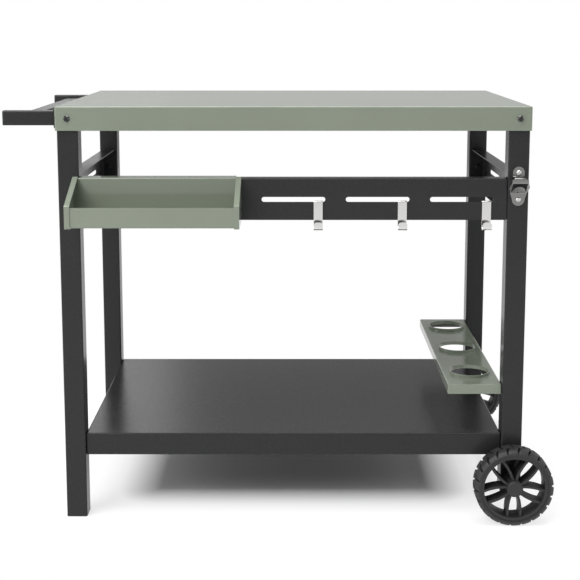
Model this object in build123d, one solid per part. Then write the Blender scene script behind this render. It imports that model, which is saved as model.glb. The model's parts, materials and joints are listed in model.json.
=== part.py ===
from build123d import *
import os

# Serving cart: a green worktop, hung tray and bottle rack on a black tube frame with two wheels.
# Sizes in millimetres. +X points to the wheel side, +Y to the back and +Z up.

# Sheet metal and fits
SHEET = 1.5
BEND = 1.5
FIT = 0.2
MOVE = 0.3

# Worktop
TOP_LENGTH = 900.0
TOP_DEPTH = 560.0
TOP_HEIGHT = 810.0
TOP_SKIRT = 46.0

# Legs: square tube, the right pair ends above the floor beside the wheels
TUBE = 40.0
TUBE_WALL = 1.5
WHEEL_LEG_END = 55.0

# Plastic plugs in the tube ends
PLUG_LIP = 3.0
PLUG_CHAMFER = 1.0
PLUG_DEPTH = 15.0
PLUG_WALL = 2.0

# Slotted rails between the legs, hung below the worktop's skirt
RAIL_HEIGHT = 80.0
RAIL_FLANGE = 30.0
FRONT_RAIL_DROP = 91.0
SIDE_RAIL_DROP = 87.0
SLOT_HEIGHT = 9.5
SLOT_GAP = 39.0
SLOT_MARGIN = 26.0
FRONT_SLOTS = 5
SIDE_SLOTS = 2

# Lower shelf
SHELF_HEIGHT = 169.0
SHELF_SKIRT = 43.0
SHELF_SETBACK = 6.0

# Hat-section stiffeners under the worktop and the shelf
HAT_WIDTH = 30.0
HAT_HEIGHT = 18.0
HAT_BRIM = 12.0
HAT_SPACING = 300.0

# Bottle rack
RACK_WIDTH = 105.0
RACK_HEIGHT = 267.0
RACK_SKIRT = 19.0
RACK_SETBACK = 9.0
HOLE_DIAMETER = 77.0
HOLE_PITCH = 187.0
HOLE_COUNT = 3
LIP_THICKNESS = 1.5
LIP_HEIGHT = 6.0
LIP_ROUND = 0.5

# Handle
ARM_LENGTH = 101.0
ARM_DEPTH = 20.0
ARM_HEIGHT = 28.0
BAR_WIDTH = 30.0
BAR_HEIGHT = 15.0
FINGER_GAP = 41.0
PLATE_THICKNESS = 3.0
PLATE_MARGIN = 5.0

# Bottle opener, with heights from its lower end
OPENER_DROP = 68.0
OPENER_HEIGHT = 75.0
OPENER_WIDTH = 39.0
OPENER_SHEET = 2.0
OPENER_TAB = 22.0
OPENER_FOOT = 24.0
OPENER_HEEL = 25.0
OPENER_LIP = 54.0
OPENER_LIP_WIDTH = 31.0
OPENER_LIP_FRONT = 7.0
OPENER_REACH = 22.0
OPENER_MOUTH = 28.0
OPENER_TONGUE = 13.0
OPENER_SCREW = 4.5

# Strap hooks, resting near the right end of their slots
HOOK_WIDTH = 17.0
HOOK_STRAP = 2.0
HOOK_DROP = 53.0
HOOK_BEND = 6.0
HOOK_FLAT = 1.0
HOOK_TIP = 16.0
HOOK_ROUND = 5.5
HOOK_TAIL = 12.0
HOOK_COUNT = 3

# Hung tray
TRAY_INSET = 31.0
TRAY_LENGTH = 320.0
TRAY_REACH = 97.0
TRAY_FRONT = 38.0
TRAY_LIP_DROP = 12.0
TRAY_END = 10.0

# Wheels
WHEEL_DIAMETER = 152.0
WHEEL_WIDTH = 45.0
WHEEL_GAP = 5.0
TYRE_INNER = 66.0
TYRE_SHOULDER = 6.0
TREAD_COUNT = 22
TREAD_DEPTH = 6.0
TREAD_FLOOR = 2.0
TREAD_MOUTH = 8.0
TREAD_SLANT = 14.0
RIM_INNER = 59.0
RIM_INSET = 2.0
HUB_RADIUS = 15.5
HUB_RECESS = 10.0
SPOKE_PAIRS = 5
SPOKE_RIB = 4.5
SPOKE_DEPTH = 30.0
SPOKE_INSET = 5.0
SPOKE_ROOT = 11.0
SPOKE_WIDTH = 24.0
CAP_RADIUS = 12.0
CAP_HEAD = 2.5
CAP_WALL = 1.5
CAP_SPIGOT = 3.5
AXLE_RADIUS = 6.0
AXLE_CLEARANCE = 0.08
AXLE_NUT = 5.0
WASHER_RADIUS = 14.0

# Screws and nuts, with the head's sizes as multiples of the screw's diameter
SCREW = 6.0
HEAD_WIDTH = 2.0
HEAD_HEIGHT = 0.6
HEAD_SOCKET = 0.65
SCREW_TIP = 1.5
NUT_WIDTH = 10.0
NUT_HEIGHT = 5.0

# Places that follow from the sizes above
TUBE_RADIUS = 2 * TUBE_WALL
LEG_X = TOP_LENGTH / 2 - SHEET - BEND - TUBE / 2
LEG_Y = TOP_DEPTH / 2 - SHEET - BEND - TUBE / 2
LEG_FACE_Y = LEG_Y + TUBE / 2
LEG_INNER_X = LEG_X - TUBE / 2
LEG_INNER_Y = LEG_Y - TUBE / 2
SKIRT_MIDDLE = TOP_HEIGHT - TOP_SKIRT / 2
SKIRT_EDGE = TOP_HEIGHT - TOP_SKIRT
RAIL_TOP = SKIRT_EDGE - FRONT_RAIL_DROP
RAIL_FLOOR = RAIL_TOP - RAIL_HEIGHT
RAIL_MIDDLE = RAIL_TOP - RAIL_HEIGHT / 2
RAIL_END = LEG_INNER_X - FIT
SIDE_RAIL_MIDDLE = SKIRT_EDGE - SIDE_RAIL_DROP - RAIL_HEIGHT / 2
SIDE_RAIL_END = LEG_INNER_Y - FIT
SLOT_PITCH = (2 * RAIL_END - 2 * SLOT_MARGIN + SLOT_GAP) / FRONT_SLOTS
SLOT_LENGTH = SLOT_PITCH - SLOT_GAP
OPENER_BASE = SKIRT_EDGE - OPENER_DROP - OPENER_HEIGHT
SHELF_MIDDLE = SHELF_HEIGHT - SHELF_SKIRT / 2
RACK_MIDDLE = RACK_HEIGHT - RACK_SKIRT / 2
HANDLE_END = -TOP_LENGTH / 2 - ARM_LENGTH
WHEEL_RADIUS = WHEEL_DIAMETER / 2
WHEEL_FACE = LEG_FACE_Y + WHEEL_GAP + WHEEL_WIDTH
TRAY_LEFT = TRAY_INSET - TOP_LENGTH / 2
TRAY_RIGHT = TRAY_LEFT + TRAY_LENGTH
TRAY_BACK = -LEG_FACE_Y - MOVE
TRAY_TOP = RAIL_TOP + MOVE
TRAY_WALL_FRONT = TRAY_BACK - TRAY_REACH
TRAY_FACE = TRAY_WALL_FRONT - SHEET - FIT

# The origin lies on the floor under the middle of the whole cart
FRONT_REACH = max(-TRAY_FACE, WHEEL_FACE + CAP_HEAD)
ORIGIN_X = (HANDLE_END + max(LEG_X + WHEEL_RADIUS, TOP_LENGTH / 2)) / 2
ORIGIN_Y = (WHEEL_FACE + CAP_HEAD - FRONT_REACH) / 2

BASE = (Align.CENTER, Align.CENTER, Align.MIN)
HANGING = (Align.CENTER, Align.CENTER, Align.MAX)
SIDES = {"left": -1, "right": 1}
ENDS = {"front": -1, "rear": 1}


def pan(length, depth, height):
    """Inverted tray of folded sheet with its top face on z = 0."""
    outer = Box(length, depth, height, align=HANGING)
    folds = outer.edges().filter_by(Axis.Z) + outer.edges().group_by(Axis.Z)[-1]
    outer = fillet(folds, BEND + SHEET)
    inner = Pos(0, 0, -SHEET) * Box(length - 2 * SHEET, depth - 2 * SHEET, height, align=HANGING)
    folds = inner.edges().filter_by(Axis.Z) + inner.edges().group_by(Axis.Z)[-1]
    return outer - fillet(folds, BEND)


def folded(points, radii, width, thickness=SHEET, side=Side.LEFT):
    """Sheet of one thickness beside a bent line, extruded evenly to both sides of the drawing plane."""
    line = FilletPolyline(*points, radius=radii)
    return extrude(make_face(offset(line, thickness, side=side)), width / 2, both=True)


def tube(width, depth, length):
    """Rectangular tube standing on z = 0."""
    bore = RectangleRounded(width - 2 * TUBE_WALL, depth - 2 * TUBE_WALL, TUBE_RADIUS - TUBE_WALL)
    return extrude(RectangleRounded(width, depth, TUBE_RADIUS) - bore, length)


def plug(width, depth):
    """Plastic plug whose lip lies under z = 0 and whose hollow shank stands in the tube."""
    lip = extrude(RectangleRounded(width, depth, TUBE_RADIUS), -PLUG_LIP)
    lip = chamfer(lip.edges().group_by(Axis.Z)[0], PLUG_CHAMFER)
    slack = 2 * (TUBE_WALL + FIT)
    shank = Box(width - slack, depth - slack, PLUG_DEPTH, align=BASE)
    shank = chamfer(shank.edges().filter_by(Axis.Z), TUBE_WALL)
    hollow = slack + 2 * PLUG_WALL
    return lip + shank - Box(width - hollow, depth - hollow, PLUG_DEPTH, align=BASE)


def screw(grip, size=SCREW):
    """Socket screw with its head on z = 0, long enough for a nut behind the grip."""
    height = HEAD_HEIGHT * size
    head = Cylinder(HEAD_WIDTH * size / 2, height, align=BASE)
    head = chamfer(head.edges().group_by(Axis.Z)[-1], height / 2)
    socket = extrude(RegularPolygon(HEAD_SOCKET * size / 2, 6, major_radius=False), -height / 2)
    shank = Cylinder(size / 2, grip + NUT_HEIGHT + SCREW_TIP, align=HANGING)
    return head - Pos(0, 0, height) * socket + shank


def nut(grip):
    """Hexagon nut behind the grip of a screw."""
    body = RegularPolygon(NUT_WIDTH / 2, 6, major_radius=False) - Circle(SCREW / 2 + FIT / 2)
    return Pos(0, 0, -grip) * extrude(body, -NUT_HEIGHT)


def drill(places, grip, size=SCREW):
    """Clearance holes for the screws at these places, head seat to shank end."""
    hole = Cylinder(size / 2 + FIT, grip + NUT_HEIGHT + SCREW_TIP + FIT, align=HANGING)
    return [place * hole for place in places]


def group(shapes):
    """Separate solids that share one node."""
    return Compound([solid for shape in shapes for solid in shape.solids()])


def facing(x, y, z, direction):
    """Place on the cart whose z axis points along a direction."""
    return Plane(origin=(x, y, z), z_dir=direction)


# Screw places with the direction each head faces, and the stack between head and nut
SHEET_GRIP = SHEET + FIT + TUBE_WALL
WORKTOP_PLACES = [facing(x * LEG_X, y * TOP_DEPTH / 2, SKIRT_MIDDLE, (0, y, 0))
                  for x in SIDES.values() for y in ENDS.values()]
WORKTOP_GRIP = SHEET + BEND + TUBE_WALL
FRONT_RAIL_PLACES = [facing(x * (RAIL_END - SHEET), RAIL_FLANGE / 2 - LEG_FACE_Y, RAIL_MIDDLE, (-x, 0, 0))
                     for x in SIDES.values()]
SIDE_RAIL_PLACES = [facing(x * LEG_X, y * (SIDE_RAIL_END - SHEET), SIDE_RAIL_MIDDLE, (0, -y, 0))
                    for x in SIDES.values() for y in ENDS.values()]
SHELF_PLACES = [facing(x * (LEG_INNER_X - FIT - SHEET), y * LEG_Y, SHELF_MIDDLE, (-x, 0, 0))
                for x in SIDES.values() for y in ENDS.values()]
RACK_PLACES = [facing(LEG_INNER_X - FIT - SHEET, y * LEG_Y, RACK_MIDDLE, (-1, 0, 0)) for y in ENDS.values()]
OPENER_PLACES = [facing(LEG_X, -LEG_FACE_Y - OPENER_SHEET, OPENER_BASE + height, (0, -1, 0))
                 for height in (OPENER_FOOT / 2, OPENER_HEIGHT - OPENER_TAB / 2)]
OPENER_GRIP = OPENER_SHEET + TUBE_WALL
HANDLE_PLACES = [facing(-LEG_INNER_X, y * LEG_Y, SKIRT_MIDDLE, (1, 0, 0)) for y in ENDS.values()]
HANDLE_GRIP = TUBE + BEND + SHEET + PLATE_THICKNESS
NUTTED_SCREWS = {
    "worktop_screws": (WORKTOP_PLACES, WORKTOP_GRIP),
    "front_rail_screws": (FRONT_RAIL_PLACES, SHEET_GRIP),
    "side_rail_screws": (SIDE_RAIL_PLACES, SHEET_GRIP),
    "shelf_screws": (SHELF_PLACES, SHEET_GRIP),
    "rack_screws": (RACK_PLACES, SHEET_GRIP),
    "handle_bolts": (HANDLE_PLACES, HANDLE_GRIP),
}


def worktop():
    """Worktop pan, drilled for the screws and the handle bolts."""
    panel = Pos(0, 0, TOP_HEIGHT) * pan(TOP_LENGTH, TOP_DEPTH, TOP_SKIRT)
    return panel - drill(WORKTOP_PLACES, WORKTOP_GRIP) - drill(HANDLE_PLACES, HANDLE_GRIP)


def stiffeners(depth, height):
    """Two hat sections across the underside of a pan, brims against the panel."""
    half = HAT_WIDTH / 2
    right = [(half, -HAT_HEIGHT), (half, 0), (half + HAT_BRIM, 0)]
    left = [(-x, z) for x, z in reversed(right)]
    radii = [BEND, BEND + SHEET, BEND + SHEET, BEND]
    hat = Plane.XZ * folded(left + right, radii, depth - 2 * (SHEET + BEND + FIT))
    return group(Pos(x * HAT_SPACING / 2, 0, height - 2 * SHEET) * hat for x in SIDES.values())


def leg(x, y):
    """One leg with the holes for every screw that meets it."""
    bottom = PLUG_LIP if x < 0 else WHEEL_LEG_END
    post = Pos(x * LEG_X, y * LEG_Y, bottom) * tube(TUBE, TUBE, TOP_HEIGHT - SHEET - bottom)
    for places, grip in NUTTED_SCREWS.values():
        post -= drill(places, grip)
    post -= drill(OPENER_PLACES, OPENER_GRIP, OPENER_SCREW)
    return post - axle_rod(FIT)


def leg_plug(x, y):
    """Plug that closes the lower end of a leg."""
    bottom = PLUG_LIP if x < 0 else WHEEL_LEG_END
    return Pos(x * LEG_X, y * LEG_Y, bottom) * plug(TUBE, TUBE)


def slotted_rail(length, slots):
    """Channel with end flanges and a row of slots for hooks, its face in the plane y = 0."""
    channel = pan(length, RAIL_HEIGHT, RAIL_FLANGE)
    slot = extrude(SlotOverall(SLOT_LENGTH, SLOT_HEIGHT), -2 * SHEET)
    channel -= [Pos((i - (slots - 1) / 2) * SLOT_PITCH, 0, 0) * slot for i in range(slots)]
    return Rot(90, 0, 0) * channel


def front_rail():
    """Rail between the front legs, its face level with theirs."""
    rail = Pos(0, -LEG_FACE_Y, RAIL_MIDDLE) * slotted_rail(2 * RAIL_END, FRONT_SLOTS)
    return rail - drill(FRONT_RAIL_PLACES, SHEET_GRIP)


def side_rail(x):
    """Rail between a front and a rear leg, centred on their width with its face outward."""
    rail = Rot(0, 0, x * 90) * slotted_rail(2 * SIDE_RAIL_END, SIDE_SLOTS)
    rail = Pos(x * (LEG_X + RAIL_FLANGE / 2), 0, SIDE_RAIL_MIDDLE) * rail
    return rail - drill(SIDE_RAIL_PLACES, SHEET_GRIP)


def lower_shelf():
    """Shelf pan between the inner faces of the legs."""
    panel = pan(2 * (LEG_INNER_X - FIT), 2 * (LEG_FACE_Y - SHELF_SETBACK), SHELF_SKIRT)
    return Pos(0, 0, SHELF_HEIGHT) * panel - drill(SHELF_PLACES, SHEET_GRIP)


def bottle_rack():
    """Narrow pan with a row of round holes, each with a raised rounded lip."""
    plate = pan(RACK_WIDTH, 2 * (LEG_FACE_Y - RACK_SETBACK), RACK_SKIRT)
    lip_radius = HOLE_DIAMETER / 2 + LIP_THICKNESS
    for i in range(HOLE_COUNT):
        centre = Pos(0, (i - (HOLE_COUNT - 1) / 2) * HOLE_PITCH, 0)
        lip = Cylinder(lip_radius, LIP_HEIGHT + SHEET, align=BASE)
        lip = fillet(lip.edges().group_by(Axis.Z)[-1], LIP_ROUND)
        plate += centre * Pos(0, 0, -SHEET) * lip
        plate -= centre * Cylinder(HOLE_DIAMETER / 2, 2 * RACK_SKIRT)
    middle = LEG_INNER_X - FIT - RACK_WIDTH / 2
    return Pos(middle, 0, RACK_HEIGHT) * plate - drill(RACK_PLACES, SHEET_GRIP)


def handle_arm(y):
    """Tube that reaches out from the mounting plate to the end cap."""
    start = -TOP_LENGTH / 2 - PLATE_THICKNESS
    length = ARM_LENGTH - PLATE_THICKNESS - PLUG_LIP
    return Pos(start, y * LEG_Y, SKIRT_MIDDLE) * Rot(0, -90, 0) * tube(ARM_HEIGHT, ARM_DEPTH, length)


def handle_cap(y):
    """Plug in the outer end of a handle arm."""
    return Pos(HANDLE_END + PLUG_LIP, y * LEG_Y, SKIRT_MIDDLE) * Rot(0, 90, 0) * plug(ARM_HEIGHT, ARM_DEPTH)


def handle_plate(y):
    """Plate between a handle arm and the worktop's skirt."""
    plate = Box(PLATE_THICKNESS, ARM_DEPTH + 2 * PLATE_MARGIN, ARM_HEIGHT + 2 * PLATE_MARGIN)
    plate = chamfer(plate.edges().filter_by(Axis.X), PLATE_MARGIN / 2)
    plate = Pos(-TOP_LENGTH / 2 - PLATE_THICKNESS / 2, y * LEG_Y, SKIRT_MIDDLE) * plate
    return plate - drill(HANDLE_PLACES, HANDLE_GRIP)


def handle_bar():
    """Grip bar between the two arms."""
    length = 2 * LEG_Y - ARM_DEPTH
    middle = -TOP_LENGTH / 2 - FINGER_GAP - BAR_WIDTH / 2
    return Pos(middle, length / 2, SKIRT_MIDDLE) * Rot(90, 0, 0) * tube(BAR_WIDTH, BAR_HEIGHT, length)


def mirrored(points):
    """Closed outline from its right half, listed from one end to the other."""
    return points + [(-x, y) for x, y in reversed(points)]


def bottle_opener():
    """Wall opener: one bent strip with tabs for two screws and a mouth under the forward lip."""
    lip_edge = OPENER_LIP - OPENER_LIP_FRONT
    bend = OPENER_SHEET + BEND
    points = [(0, OPENER_HEIGHT), (0, OPENER_LIP), (-OPENER_REACH, OPENER_LIP), (-OPENER_REACH, lip_edge),
              (0, OPENER_HEEL), (0, 0)]
    strip = Plane.YZ * folded(points, [bend, BEND, BEND, bend], OPENER_WIDTH, OPENER_SHEET, Side.RIGHT)
    tab = OPENER_TAB / 2
    foot = OPENER_FOOT / 2
    half_lip = OPENER_LIP_WIDTH / 2
    shoulder = (lip_edge + OPENER_HEEL) / 2
    sides = [(tab, OPENER_HEIGHT - tab), (tab, OPENER_LIP), (half_lip, OPENER_LIP - OPENER_SHEET),
             (half_lip, lip_edge), (OPENER_WIDTH / 2, shoulder), (foot, foot)]
    outline = Polygon(*mirrored(sides), align=None)
    outline += Pos(0, OPENER_HEIGHT - tab) * Circle(tab)
    outline += Pos(0, foot) * Circle(foot)
    mouth = Rectangle(OPENER_MOUTH, lip_edge - OPENER_HEEL - 2 * OPENER_SHEET)
    mouth = Pos(0, shoulder) * mouth - Pos(0, OPENER_HEEL) * Circle(OPENER_TONGUE)
    blank = extrude(Plane.XZ * (outline - mouth), 2 * OPENER_REACH, both=True)
    opener = Pos(LEG_X, -LEG_FACE_Y, OPENER_BASE) * (strip & blank)
    return opener - drill(OPENER_PLACES, OPENER_GRIP, OPENER_SCREW)


def hook(x):
    """Strap bent over the lower edge of a slot, with a rounded upturned tip in front."""
    bend = HOOK_BEND + HOOK_STRAP
    edge = RAIL_MIDDLE - SLOT_HEIGHT / 2
    top = edge + MOVE
    low = edge - HOOK_DROP
    front = -LEG_FACE_Y - MOVE
    back = -LEG_FACE_Y + SHEET + MOVE
    out = front - 2 * bend - HOOK_FLAT
    points = [(back, edge - HOOK_TAIL), (back, top), (front, top), (front, low), (out, low),
              (out, low + HOOK_TIP)]
    strap = Plane.YZ * folded(points, [MOVE, MOVE, bend, bend], HOOK_WIDTH, HOOK_STRAP, Side.RIGHT)
    tip = [e for e in strap.edges().filter_by(Axis.Y) if e.center().Y < out + HOOK_STRAP]
    return Pos(x, 0, 0) * fillet(tip, HOOK_ROUND)


def hook_place(i):
    """Rest place of a hook near the right end of its slot, counted from the middle slot."""
    return i * SLOT_PITCH + (SLOT_LENGTH - SLOT_HEIGHT - HOOK_WIDTH) / 2 - MOVE


def tray_trough():
    """Front wall, floor and back wall of one sheet, with a lip that hangs over the front rail."""
    lip_end = -LEG_FACE_Y + RAIL_FLANGE + BEND
    points = [(TRAY_WALL_FRONT, RAIL_FLOOR + TRAY_FRONT), (TRAY_WALL_FRONT, RAIL_FLOOR),
              (TRAY_BACK, RAIL_FLOOR), (TRAY_BACK, TRAY_TOP),
              (lip_end, TRAY_TOP), (lip_end, TRAY_TOP - TRAY_LIP_DROP)]
    radii = [BEND + SHEET, BEND + SHEET, BEND, BEND]
    trough = Plane.YZ * folded(points, radii, TRAY_LENGTH - 2 * (SHEET + FIT))
    trough = Pos((TRAY_LEFT + TRAY_RIGHT) / 2, 0, 0) * trough
    lip_left = max(TRAY_LEFT + TRAY_END, BEND - RAIL_END) + FIT
    lip_right = TRAY_RIGHT - TRAY_END - FIT
    relief = Box(TRAY_LENGTH, TRAY_REACH, RAIL_HEIGHT)
    middles = (lip_left - TRAY_LENGTH / 2, lip_right + TRAY_LENGTH / 2)
    return trough - [Pos(x, TRAY_BACK + TRAY_REACH / 2, RAIL_TOP) * relief for x in middles]


def tray_end(side):
    """Rimmed end of the tray, open towards the trough and the rail."""
    rim = SHEET + FIT
    front_top = RAIL_FLOOR + TRAY_FRONT + 2 * rim
    crest = TRAY_TOP + 2 * rim
    bottom = RAIL_FLOOR - rim
    outline = [(TRAY_BACK, bottom), (TRAY_FACE, bottom), (TRAY_FACE, front_top), (TRAY_BACK, crest)]
    face = make_face(FilletPolyline(*outline, radius=[0, 2 * BEND, 2 * BEND, 0], close=True))
    hollow = offset(face, -SHEET)
    back = 2 * SHEET
    rise = back * (crest - front_top) / (TRAY_BACK - TRAY_FACE)
    hollow += [Pos(back, height) * hollow for height in (0, rise)]
    block = extrude(Plane.YZ * face, TRAY_END) - Pos(SHEET, 0, 0) * extrude(Plane.YZ * hollow, TRAY_END)
    if side == "left":
        return Pos(TRAY_LEFT, 0, 0) * block
    return Pos(TRAY_RIGHT, 0, 0) * mirror(block, Plane.YZ)


def wheel_place(y):
    """Outer face of a wheel, with the wheel's depth along its negative z axis."""
    return Plane(origin=(LEG_X, y * WHEEL_FACE, WHEEL_RADIUS), x_dir=(-y, 0, 0), z_dir=(0, y, 0))


def spoke_ribs():
    """Twin curved ribs of every spoke, from within the hub to within the rim's ring."""
    root = (SPOKE_ROOT / 2, HUB_RADIUS - SPOKE_RIB)
    tip = (SPOKE_WIDTH / 2, RIM_INNER)
    swell = (SPOKE_WIDTH / 2, (HUB_RADIUS + RIM_INNER) / 2)
    rib = extrude(trace(Spline(root, swell, tip), SPOKE_RIB), SPOKE_DEPTH, dir=(0, 0, -1))
    pair = [rib, mirror(rib, Plane.YZ)]
    turn = 360 / SPOKE_PAIRS
    return [Rot(0, 0, (i + 0.5) * turn) * side for i in range(SPOKE_PAIRS) for side in pair]


def wheel_rim(y):
    """Spoked rim with a hub that runs on the axle and a recess for the nut and the cap."""
    depth = WHEEL_WIDTH - RIM_INSET
    ring = Pos(0, 0, -RIM_INSET) * extrude(Circle(TYRE_INNER) - Circle(RIM_INNER), RIM_INSET - depth)
    hub = extrude(Circle(HUB_RADIUS), -WHEEL_WIDTH)
    rim = ring + hub + [Pos(0, 0, -SPOKE_INSET) * rib for rib in spoke_ribs()]
    rim -= extrude(Circle(CAP_RADIUS + FIT), -HUB_RECESS)
    rim -= extrude(Circle(AXLE_RADIUS + AXLE_CLEARANCE), -WHEEL_WIDTH)
    return wheel_place(y) * rim


def wheel_tyre(y):
    """Tyre with bevelled shoulders and two staggered rows of slanted tread blocks."""
    tyre = extrude(Circle(WHEEL_RADIUS) - Circle(TYRE_INNER + FIT / 2), -WHEEL_WIDTH)
    rims = tyre.edges().filter_by(GeomType.CIRCLE).sort_by(SortBy.RADIUS)[-2:]
    tyre = chamfer(rims, TYRE_SHOULDER)
    sides = [(TREAD_MOUTH / 2, TREAD_DEPTH), (TREAD_FLOOR / 2, -TREAD_DEPTH)]
    groove = extrude(Polygon(*mirrored(sides), align=None), WHEEL_WIDTH)
    groove = Pos(0, WHEEL_RADIUS, 0) * Rot(0, TREAD_SLANT, 0) * groove
    turn = 360 / TREAD_COUNT
    outer = [Rot(0, 0, i * turn) * groove for i in range(TREAD_COUNT)]
    inner = [Rot(0, 0, (i + 0.5) * turn) * mirror(groove, Plane.XY) for i in range(TREAD_COUNT)]
    middle = Pos(0, 0, -WHEEL_WIDTH / 2)
    return wheel_place(y) * (tyre - [middle * cut for cut in outer + inner])


def hub_cap(y):
    """Cap pressed into the hub's recess over the axle nut."""
    head = Cylinder(HUB_RADIUS, CAP_HEAD, align=BASE)
    head = chamfer(head.edges().group_by(Axis.Z)[-1], CAP_HEAD / 2)
    spigot = extrude(Circle(CAP_RADIUS) - Circle(CAP_RADIUS - CAP_WALL), -CAP_SPIGOT)
    return wheel_place(y) * (head + spigot)


def axle_rod(clearance=0.0):
    """Rod through both right legs and both wheels."""
    length = 2 * (WHEEL_FACE - HUB_RECESS + MOVE + AXLE_NUT)
    return Pos(LEG_X, 0, WHEEL_RADIUS) * Rot(90, 0, 0) * Cylinder(AXLE_RADIUS + clearance, length)


def axle_washer(y):
    """Spacer between a leg and its wheel."""
    washer = extrude(Circle(WASHER_RADIUS) - Circle(AXLE_RADIUS + FIT / 2), MOVE - WHEEL_GAP)
    return wheel_place(y) * Pos(0, 0, -WHEEL_WIDTH - MOVE) * washer


def axle_nut(y):
    """Nut on the end of the axle, inside the hub's recess."""
    body = RegularPolygon(CAP_RADIUS - 2 * CAP_WALL, 6) - Circle(AXLE_RADIUS + FIT / 4)
    return wheel_place(y) * Pos(0, 0, MOVE - HUB_RECESS) * extrude(body, AXLE_NUT)


def save(name, shape):
    """Write one node in the shared frame."""
    export_step(Pos(-ORIGIN_X, -ORIGIN_Y, 0) * shape, f"parts/{name}.step")


def main():
    """Build every node of the cart."""
    os.makedirs("parts", exist_ok=True)
    save("worktop", worktop())
    save("worktop_stiffeners", stiffeners(TOP_DEPTH, TOP_HEIGHT))
    save("lower_shelf", lower_shelf())
    save("shelf_stiffeners", stiffeners(2 * (LEG_FACE_Y - SHELF_SETBACK), SHELF_HEIGHT))
    for side, x in SIDES.items():
        save(f"side_rail_{side}", side_rail(x))
        save(f"tray_end_{side}", tray_end(side))
        for end, y in ENDS.items():
            save(f"leg_{end}_{side}", leg(x, y))
            save(f"leg_plug_{end}_{side}", leg_plug(x, y))
    for end, y in ENDS.items():
        save(f"handle_arm_{end}", handle_arm(y))
        save(f"handle_cap_{end}", handle_cap(y))
        save(f"handle_plate_{end}", handle_plate(y))
        save(f"wheel_rim_{end}", wheel_rim(y))
        save(f"wheel_tyre_{end}", wheel_tyre(y))
        save(f"hub_cap_{end}", hub_cap(y))
    save("front_rail", front_rail())
    save("bottle_rack", bottle_rack())
    save("handle_bar", handle_bar())
    save("bottle_opener", bottle_opener())
    save("tray_trough", tray_trough())
    for i in range(HOOK_COUNT):
        save(f"hook_{i + 1}", hook(hook_place(i)))
    save("axle_rod", axle_rod())
    save("axle_washers", group(axle_washer(y) for y in ENDS.values()))
    save("axle_nuts", group(axle_nut(y) for y in ENDS.values()))
    nuts = []
    for name, (places, grip) in NUTTED_SCREWS.items():
        save(name, group(place * screw(grip) for place in places))
        nuts += [place * nut(grip) for place in places]
    save("opener_screws", group(place * screw(OPENER_GRIP, OPENER_SCREW) for place in OPENER_PLACES))
    save("weld_nuts", group(nuts))


if __name__ == "__main__":
    main()
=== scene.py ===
import json
import math

import bpy
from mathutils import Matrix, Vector

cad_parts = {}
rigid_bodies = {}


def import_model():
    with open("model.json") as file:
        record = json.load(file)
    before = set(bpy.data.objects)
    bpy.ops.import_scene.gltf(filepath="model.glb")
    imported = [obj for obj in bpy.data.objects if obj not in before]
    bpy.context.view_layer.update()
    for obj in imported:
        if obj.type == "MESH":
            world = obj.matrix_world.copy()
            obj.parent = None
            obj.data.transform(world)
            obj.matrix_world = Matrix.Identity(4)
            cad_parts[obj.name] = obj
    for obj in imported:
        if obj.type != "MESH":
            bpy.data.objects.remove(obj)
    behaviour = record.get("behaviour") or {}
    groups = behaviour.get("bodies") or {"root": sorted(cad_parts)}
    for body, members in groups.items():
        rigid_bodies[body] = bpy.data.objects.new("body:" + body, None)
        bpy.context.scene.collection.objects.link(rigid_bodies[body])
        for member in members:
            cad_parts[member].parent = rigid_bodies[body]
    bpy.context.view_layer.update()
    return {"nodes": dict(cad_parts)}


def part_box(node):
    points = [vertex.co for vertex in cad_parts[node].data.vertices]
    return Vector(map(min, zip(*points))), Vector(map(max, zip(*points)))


# Serving cart: finishes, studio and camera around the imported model. Lengths in metres.

# Camera: the photograph is square, and its focal length is given in widths of the picture
CAMERA_PLACE = (0.0224, -2.5618, 0.963)
CAMERA_TILT = 8.302
FOCAL_WIDTHS = 2.114
SENSOR = 36.0
SHIFT_X = -0.0045
SHIFT_Y = -0.15

# Colours as they look, in sRGB from 0 to 1
GREEN = (0.512, 0.543, 0.487)
BLACK = (0.178, 0.178, 0.181)
PLASTIC = (0.130, 0.130, 0.134)
RUBBER = (0.165, 0.165, 0.167)
STEEL = (0.880, 0.878, 0.872)
OPENER_STEEL = (0.580, 0.578, 0.570)
ZINC = (0.700, 0.700, 0.705)
DARK_STEEL = (0.360, 0.360, 0.360)
FLOOR = (0.960, 0.960, 0.960)
WHITE = (1.0, 1.0, 1.0, 1.0)

# Powder coat: faint clouding, fine grain and orange peel
CLOUD_SIZE = 0.12
CLOUD_DARK = 0.97
CLOUD_LIGHT = 1.03
GRAIN_SIZE = 0.0012
GRAIN_DARK = 0.92
GRAIN_SHARE = 0.5
GRAIN_SMOOTHER = 0.03
GRAIN_ROUGHER = 0.05
PEEL_SIZE = 0.004
PEEL_STRENGTH = 0.08
PEEL_DEPTH = 0.0002

# Bare metal: streaks, which are long in the vertical where it is brushed
STREAK_SIZE = 0.0006
STREAK_DARK = 0.95
STREAK_ROUGHNESS = 0.03
STREAK_STRENGTH = 0.02
STREAK_DEPTH = 0.0001
BRUSHED = (1.0, 1.0, 0.05)
EVEN = (1.0, 1.0, 1.0)

# Mouldings: leather-like grain and dusty patches
LEATHER_SIZE = 0.0009
LEATHER_DETAIL = 3.0
LEATHER_STRENGTH = 0.15
LEATHER_DEPTH = 0.0002
PATCH_SIZE = 0.02
PATCH_DETAIL = 4.0
PATCH_DARK = 0.9
PATCH_LIGHT = 1.1
PATCH_SMOOTHER = 0.05
PATCH_ROUGHER = 0.08

# Part of the noise's range that textures use, and its usual detail
NOISE_LOW = 0.3
NOISE_HIGH = 0.7
NOISE_DETAIL = 2.0

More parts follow.
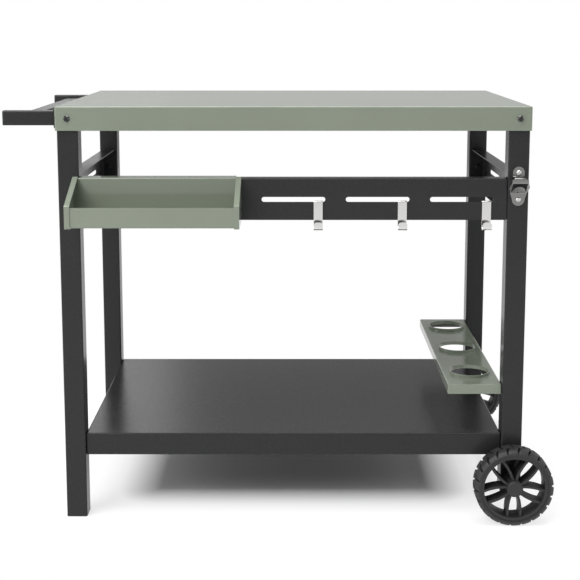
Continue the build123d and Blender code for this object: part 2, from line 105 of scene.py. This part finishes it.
# Finishes: colour and roughness, then a coat's index of refraction or a metal's grain
COATS = {
    "sage_green_coat": (GREEN, 0.10, 1.50),
    "frame_black_coat": (BLACK, 0.25, 1.32),
}
METALS = {
    "bright_steel": (STEEL, 0.15, BRUSHED),
    "opener_steel": (OPENER_STEEL, 0.25, BRUSHED),
    "dark_steel": (DARK_STEEL, 0.06, EVEN),
    "zinc_steel": (ZINC, 0.35, EVEN),
}
MOULDINGS = {
    "black_plastic": (PLASTIC, 0.50),
    "wheel_grey": (RUBBER, 0.55),
}

# Nodes of each finish; all others have the usual one
USUAL_FINISH = "frame_black_coat"
FINISHES = {
    "sage_green_coat": ("worktop", "worktop_stiffeners", "tray_trough", "tray_end_left", "tray_end_right",
                        "bottle_rack"),
    "bright_steel": ("hook_1", "hook_2", "hook_3", "opener_screws"),
    "opener_steel": ("bottle_opener",),
    "dark_steel": ("worktop_screws", "handle_bolts"),
    "zinc_steel": ("weld_nuts", "axle_rod", "axle_washers", "axle_nuts"),
    "black_plastic": ("leg_plug_front_left", "leg_plug_front_right", "leg_plug_rear_left",
                      "leg_plug_rear_right", "handle_cap_front", "handle_cap_rear"),
    "wheel_grey": ("wheel_rim_front", "wheel_rim_rear", "wheel_tyre_front", "wheel_tyre_rear",
                   "hub_cap_front", "hub_cap_rear"),
}

# Rounding of the sharp edges, by finish
EDGES = {"wheel_grey": 0.0007, "opener_steel": 0.0005, "bright_steel": 0.0004}
EDGE_ANGLE = 40.0
EDGE_STEPS = 2
WELD_GAP = 0.00001

# Floor: a core under the shelf with the full shadow, a zone with half of it, and plain white further out
FLOOR_SIZE = 11.0
SHADOW_SIDE = 0.13
SHADOW_FRONT = 0.145
SHADOW_EDGE = 0.09
SHADOW_KEPT = 0.5
NEAR_GLOW = 0.66
WHITE_FROM = 0.20
WHITE_AT = 0.45

# Surround: its level as light, and as gloss shows it at the back, at the front and overhead
AMBIENT = 0.20
BACK_GLOSS = 0.49
FRONT_GLOSS = 0.50
HIGH_GLOSS = 0.30
BACK_FROM = 0.5
FRONT_FROM = -0.5

# Soft boxes: name, place, size and power in watts
LAMPS = (
    ("key", (-1.9, -2.4, 3.0), 2.8, 110.0),
    ("top", (0.0, -0.2, 3.4), 2.6, 85.0),
    ("left", (-3.0, -0.6, 1.1), 1.6, 18.0),
    ("right", (3.0, -0.6, 1.1), 1.6, 15.0),
    ("back", (0.0, 2.3, 3.3), 2.2, 32.0),
    ("back_left", (-1.3, 6.0, 2.3), 0.9, 5.0),
)
LAMP_TARGET = (0.0, 0.0, 0.4)


def linear(colour):
    """Scene colour of one given in sRGB."""
    return [c / 12.92 if c <= 0.04045 else ((c + 0.055) / 1.055) ** 2.4 for c in colour] + [1.0]


def scaled(colour, factor):
    """Colour made lighter or darker."""
    return [min(1.0, c * factor) for c in colour]


class Graph:
    """Helper that adds nodes to the tree of one material or world and links them."""

    def __init__(self, owner):
        owner.use_nodes = True
        self.tree = owner.node_tree
        self.tree.nodes.clear()

    def add(self, kind, **values):
        """New node with its named inputs set."""
        node = self.tree.nodes.new(kind)
        for key, value in values.items():
            node.inputs[key].default_value = value
        return node

    def link(self, source, target):
        """Join an output to an input."""
        self.tree.links.new(source, target)

    def feed(self, value, target):
        """Join an output to an input, or set the input to a plain value."""
        if isinstance(value, bpy.types.NodeSocket):
            self.link(value, target)
        else:
            target.default_value = value

    def spread(self, source, low, high, start=0.0, end=1.0):
        """Number from low to high as the source goes from start to end."""
        node = self.add("ShaderNodeMapRange")
        node.inputs["From Min"].default_value = start
        node.inputs["From Max"].default_value = end
        self.feed(low, node.inputs["To Min"])
        self.feed(high, node.inputs["To Max"])
        self.link(source, node.inputs["Value"])
        return node.outputs["Result"]

    def larger(self, first, second):
        """The larger of two numbers."""
        node = self.add("ShaderNodeMath")
        node.operation = "MAXIMUM"
        self.link(first, node.inputs[0])
        self.link(second, node.inputs[1])
        return node.outputs["Value"]

    def vector_step(self, operation, first, second=None):
        """One step of arithmetic on vectors."""
        node = self.add("ShaderNodeVectorMath")
        node.operation = operation
        self.link(first, node.inputs[0])
        if second is not None:
            node.inputs[1].default_value = second
        return node.outputs["Value" if operation == "LENGTH" else "Vector"]


class Finish(Graph):
    """Material with one principled shader and textures in the object's own place."""

    def __init__(self, name):
        self.material = bpy.data.materials.new(name)
        super().__init__(self.material)
        self.shader = self.add("ShaderNodeBsdfPrincipled")
        output = self.add("ShaderNodeOutputMaterial")
        self.link(self.shader.outputs["BSDF"], output.inputs["Surface"])
        self.place = self.add("ShaderNodeTexCoord").outputs["Object"]

    def noise(self, size, detail=NOISE_DETAIL, stretch=EVEN):
        """Noise whose features are about this many metres across."""
        mapping = self.add("ShaderNodeMapping", Scale=stretch)
        self.link(self.place, mapping.inputs["Vector"])
        texture = self.add("ShaderNodeTexNoise", Scale=1.0 / size, Detail=detail)
        self.link(mapping.outputs["Vector"], texture.inputs["Vector"])
        return texture.outputs["Fac"]

    def vary(self, noise, low, high):
        """Number that follows a noise between low and high."""
        return self.spread(noise, low, high, NOISE_LOW, NOISE_HIGH)

    def mix(self, factor, first, second):
        """Blend of two colours, each a colour or an output."""
        node = self.add("ShaderNodeMix")
        node.data_type = "RGBA"
        self.link(factor, node.inputs["Factor"])
        for name, value in (("A", first), ("B", second)):
            self.feed(value, [s for s in node.inputs if s.name == name and s.type == "RGBA"][0])
        return [s for s in node.outputs if s.type == "RGBA"][0]

    def bump(self, height, strength, depth):
        """Relief on the surface from a height."""
        node = self.add("ShaderNodeBump", Strength=strength, Distance=depth)
        self.link(height, node.inputs["Height"])
        self.link(node.outputs["Normal"], self.shader.inputs["Normal"])


def powder_coat(name, colour, roughness, index):
    """Sprayed and baked coat: slight orange peel, fine grain and faint clouding."""
    finish = Finish(name)
    finish.shader.inputs["IOR"].default_value = index
    tone = linear(colour)
    cloud = finish.vary(finish.noise(CLOUD_SIZE), 0.0, 1.0)
    grain = finish.noise(GRAIN_SIZE)
    base = finish.mix(cloud, scaled(tone, CLOUD_DARK), scaled(tone, CLOUD_LIGHT))
    base = finish.mix(finish.vary(grain, 0.0, GRAIN_SHARE), base, scaled(tone, GRAIN_DARK))
    rough = finish.vary(grain, roughness - GRAIN_SMOOTHER, roughness + GRAIN_ROUGHER)
    finish.link(base, finish.shader.inputs["Base Color"])
    finish.link(rough, finish.shader.inputs["Roughness"])
    finish.bump(finish.noise(PEEL_SIZE), PEEL_STRENGTH, PEEL_DEPTH)
    return finish.material


def bare_metal(name, colour, roughness, grain):
    """Bare metal with fine streaks along its grain."""
    finish = Finish(name)
    finish.shader.inputs["Metallic"].default_value = 1.0
    tone = linear(colour)
    streak = finish.noise(STREAK_SIZE, stretch=grain)
    base = finish.mix(finish.vary(streak, 0.0, 1.0), scaled(tone, STREAK_DARK), tone)
    rough = finish.vary(streak, roughness - STREAK_ROUGHNESS, roughness + STREAK_ROUGHNESS)
    finish.link(base, finish.shader.inputs["Base Color"])
    finish.link(rough, finish.shader.inputs["Roughness"])
    finish.bump(streak, STREAK_STRENGTH, STREAK_DEPTH)
    return finish.material


def moulding(name, colour, roughness):
    """Moulded plastic or rubber with a fine leather-like grain and dusty patches."""
    finish = Finish(name)
    tone = linear(colour)
    patch = finish.noise(PATCH_SIZE, PATCH_DETAIL)
    base = finish.mix(finish.vary(patch, 0.0, 1.0), scaled(tone, PATCH_DARK), scaled(tone, PATCH_LIGHT))
    rough = finish.vary(patch, roughness - PATCH_SMOOTHER, roughness + PATCH_ROUGHER)
    finish.link(base, finish.shader.inputs["Base Color"])
    finish.link(rough, finish.shader.inputs["Roughness"])
    finish.bump(finish.noise(LEATHER_SIZE, LEATHER_DETAIL), LEATHER_STRENGTH, LEATHER_DEPTH)
    return finish.material


def soften(obj, width):
    """Round the sharp edges of one object so that they catch the light."""
    weld = obj.modifiers.new("weld", "WELD")
    weld.merge_threshold = WELD_GAP
    bevel = obj.modifiers.new("soft_edges", "BEVEL")
    bevel.width = width
    bevel.segments = EDGE_STEPS
    bevel.limit_method = "ANGLE"
    bevel.angle_limit = math.radians(EDGE_ANGLE)
    bevel.harden_normals = True


def dress(nodes):
    """Give every node of the model its finish."""
    materials = {}
    for make, finishes in ((powder_coat, COATS), (bare_metal, METALS), (moulding, MOULDINGS)):
        for name, values in finishes.items():
            materials[name] = make(name, *values)
    chosen = {node: finish for finish, members in FINISHES.items() for node in members}
    for node, obj in nodes.items():
        finish = chosen.get(node, USUAL_FINISH)
        for slot in obj.material_slots:
            slot.material = materials[finish]
        if finish in EDGES:
            soften(obj, EDGES[finish])


def distance_from_core(graph, shelf):
    """Distance of a floor point from the core of the shadow under the shelf."""
    low = shelf[0] + Vector((SHADOW_SIDE, SHADOW_FRONT, 0.0))
    high = shelf[1] - Vector((SHADOW_SIDE, 0.0, 0.0))
    middle = (low + high) / 2
    half = (high - low) / 2
    place = graph.add("ShaderNodeTexCoord").outputs["Object"]
    outside = graph.vector_step("SUBTRACT", place, (middle.x, middle.y, 0.0))
    outside = graph.vector_step("ABSOLUTE", outside)
    outside = graph.vector_step("SUBTRACT", outside, half)
    outside = graph.vector_step("MAXIMUM", outside, (0.0, 0.0, 0.0))
    return graph.vector_step("LENGTH", outside)


def zones(graph, outside, core, near, far):
    """Number in the core of the shadow, next to it and far out, with soft steps between."""
    inner = graph.spread(outside, core, near, 0.0, SHADOW_EDGE)
    return graph.spread(outside, inner, far, WHITE_FROM, WHITE_AT)


def studio_floor(shelf):
    """Pale floor that keeps the shadow of the cart and turns plain white further out."""
    bpy.ops.mesh.primitive_plane_add(size=FLOOR_SIZE)
    floor = bpy.context.object
    floor.name = "studio_floor"
    material = bpy.data.materials.new("studio_floor")
    floor.data.materials.append(material)
    graph = Graph(material)
    outside = distance_from_core(graph, shelf)
    rays = graph.add("ShaderNodeLightPath").outputs
    seen = graph.larger(rays["Is Camera Ray"], rays["Is Glossy Ray"])
    seen = graph.larger(seen, rays["Is Transmission Ray"])
    pale = linear(FLOOR)[0]
    shade = graph.spread(seen, pale, zones(graph, outside, pale, pale * SHADOW_KEPT, 0.0))
    glow = graph.spread(seen, 0.0, zones(graph, outside, 0.0, NEAR_GLOW, 1.0))
    diffuse = graph.add("ShaderNodeBsdfDiffuse")
    graph.link(shade, diffuse.inputs["Color"])
    white = graph.add("ShaderNodeEmission", Color=WHITE)
    graph.link(glow, white.inputs["Strength"])
    both = graph.add("ShaderNodeAddShader")
    graph.link(diffuse.outputs["BSDF"], both.inputs[0])
    graph.link(white.outputs["Emission"], both.inputs[1])
    output = graph.add("ShaderNodeOutputMaterial")
    graph.link(both.outputs["Shader"], output.inputs["Surface"])


def studio_world():
    """White surround as it is seen, dimmer as gloss shows it and as it lights the cart."""
    world = bpy.data.worlds.new("studio")
    bpy.context.scene.world = world
    graph = Graph(world)
    rays = graph.add("ShaderNodeLightPath").outputs
    direction = graph.add("ShaderNodeSeparateXYZ")
    graph.link(graph.add("ShaderNodeTexCoord").outputs["Generated"], direction.inputs["Vector"])
    around = graph.spread(direction.outputs["Y"], BACK_GLOSS, FRONT_GLOSS, BACK_FROM, FRONT_FROM)
    gloss = graph.spread(direction.outputs["Z"], around, HIGH_GLOSS)
    level = graph.spread(rays["Is Glossy Ray"], AMBIENT, gloss)
    level = graph.spread(rays["Is Transmission Ray"], level, 1.0)
    level = graph.spread(rays["Is Camera Ray"], level, 1.0)
    background = graph.add("ShaderNodeBackground", Color=WHITE)
    graph.link(level, background.inputs["Strength"])
    output = graph.add("ShaderNodeOutputWorld")
    graph.link(background.outputs["Background"], output.inputs["Surface"])


def lamp(name, place, size, power):
    """Square soft box aimed at the cart."""
    light = bpy.data.lights.new(name, "AREA")
    light.size = size
    light.energy = power
    obj = bpy.data.objects.new(name, light)
    bpy.context.collection.objects.link(obj)
    obj.location = place
    aim = Vector(LAMP_TARGET) - Vector(place)
    obj.rotation_euler = aim.to_track_quat("-Z", "Y").to_euler()
    obj.visible_camera = False


def camera():
    """Camera at the photograph's place."""
    data = bpy.data.cameras.new("camera")
    data.sensor_width = SENSOR
    data.lens = FOCAL_WIDTHS * SENSOR
    data.shift_x = SHIFT_X
    data.shift_y = SHIFT_Y
    obj = bpy.data.objects.new("camera", data)
    bpy.context.collection.objects.link(obj)
    obj.location = CAMERA_PLACE
    obj.rotation_euler = (math.radians(90.0 - CAMERA_TILT), 0.0, 0.0)
    bpy.context.scene.camera = obj


# The scene starts empty, so that only the model counts in its bounds
for leftover in list(bpy.data.objects):
    bpy.data.objects.remove(leftover)
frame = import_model()
dress(frame["nodes"])
studio_floor(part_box("lower_shelf"))
studio_world()
for lamp_values in LAMPS:
    lamp(*lamp_values)
camera()
bpy.context.scene.view_settings.view_transform = "Standard"
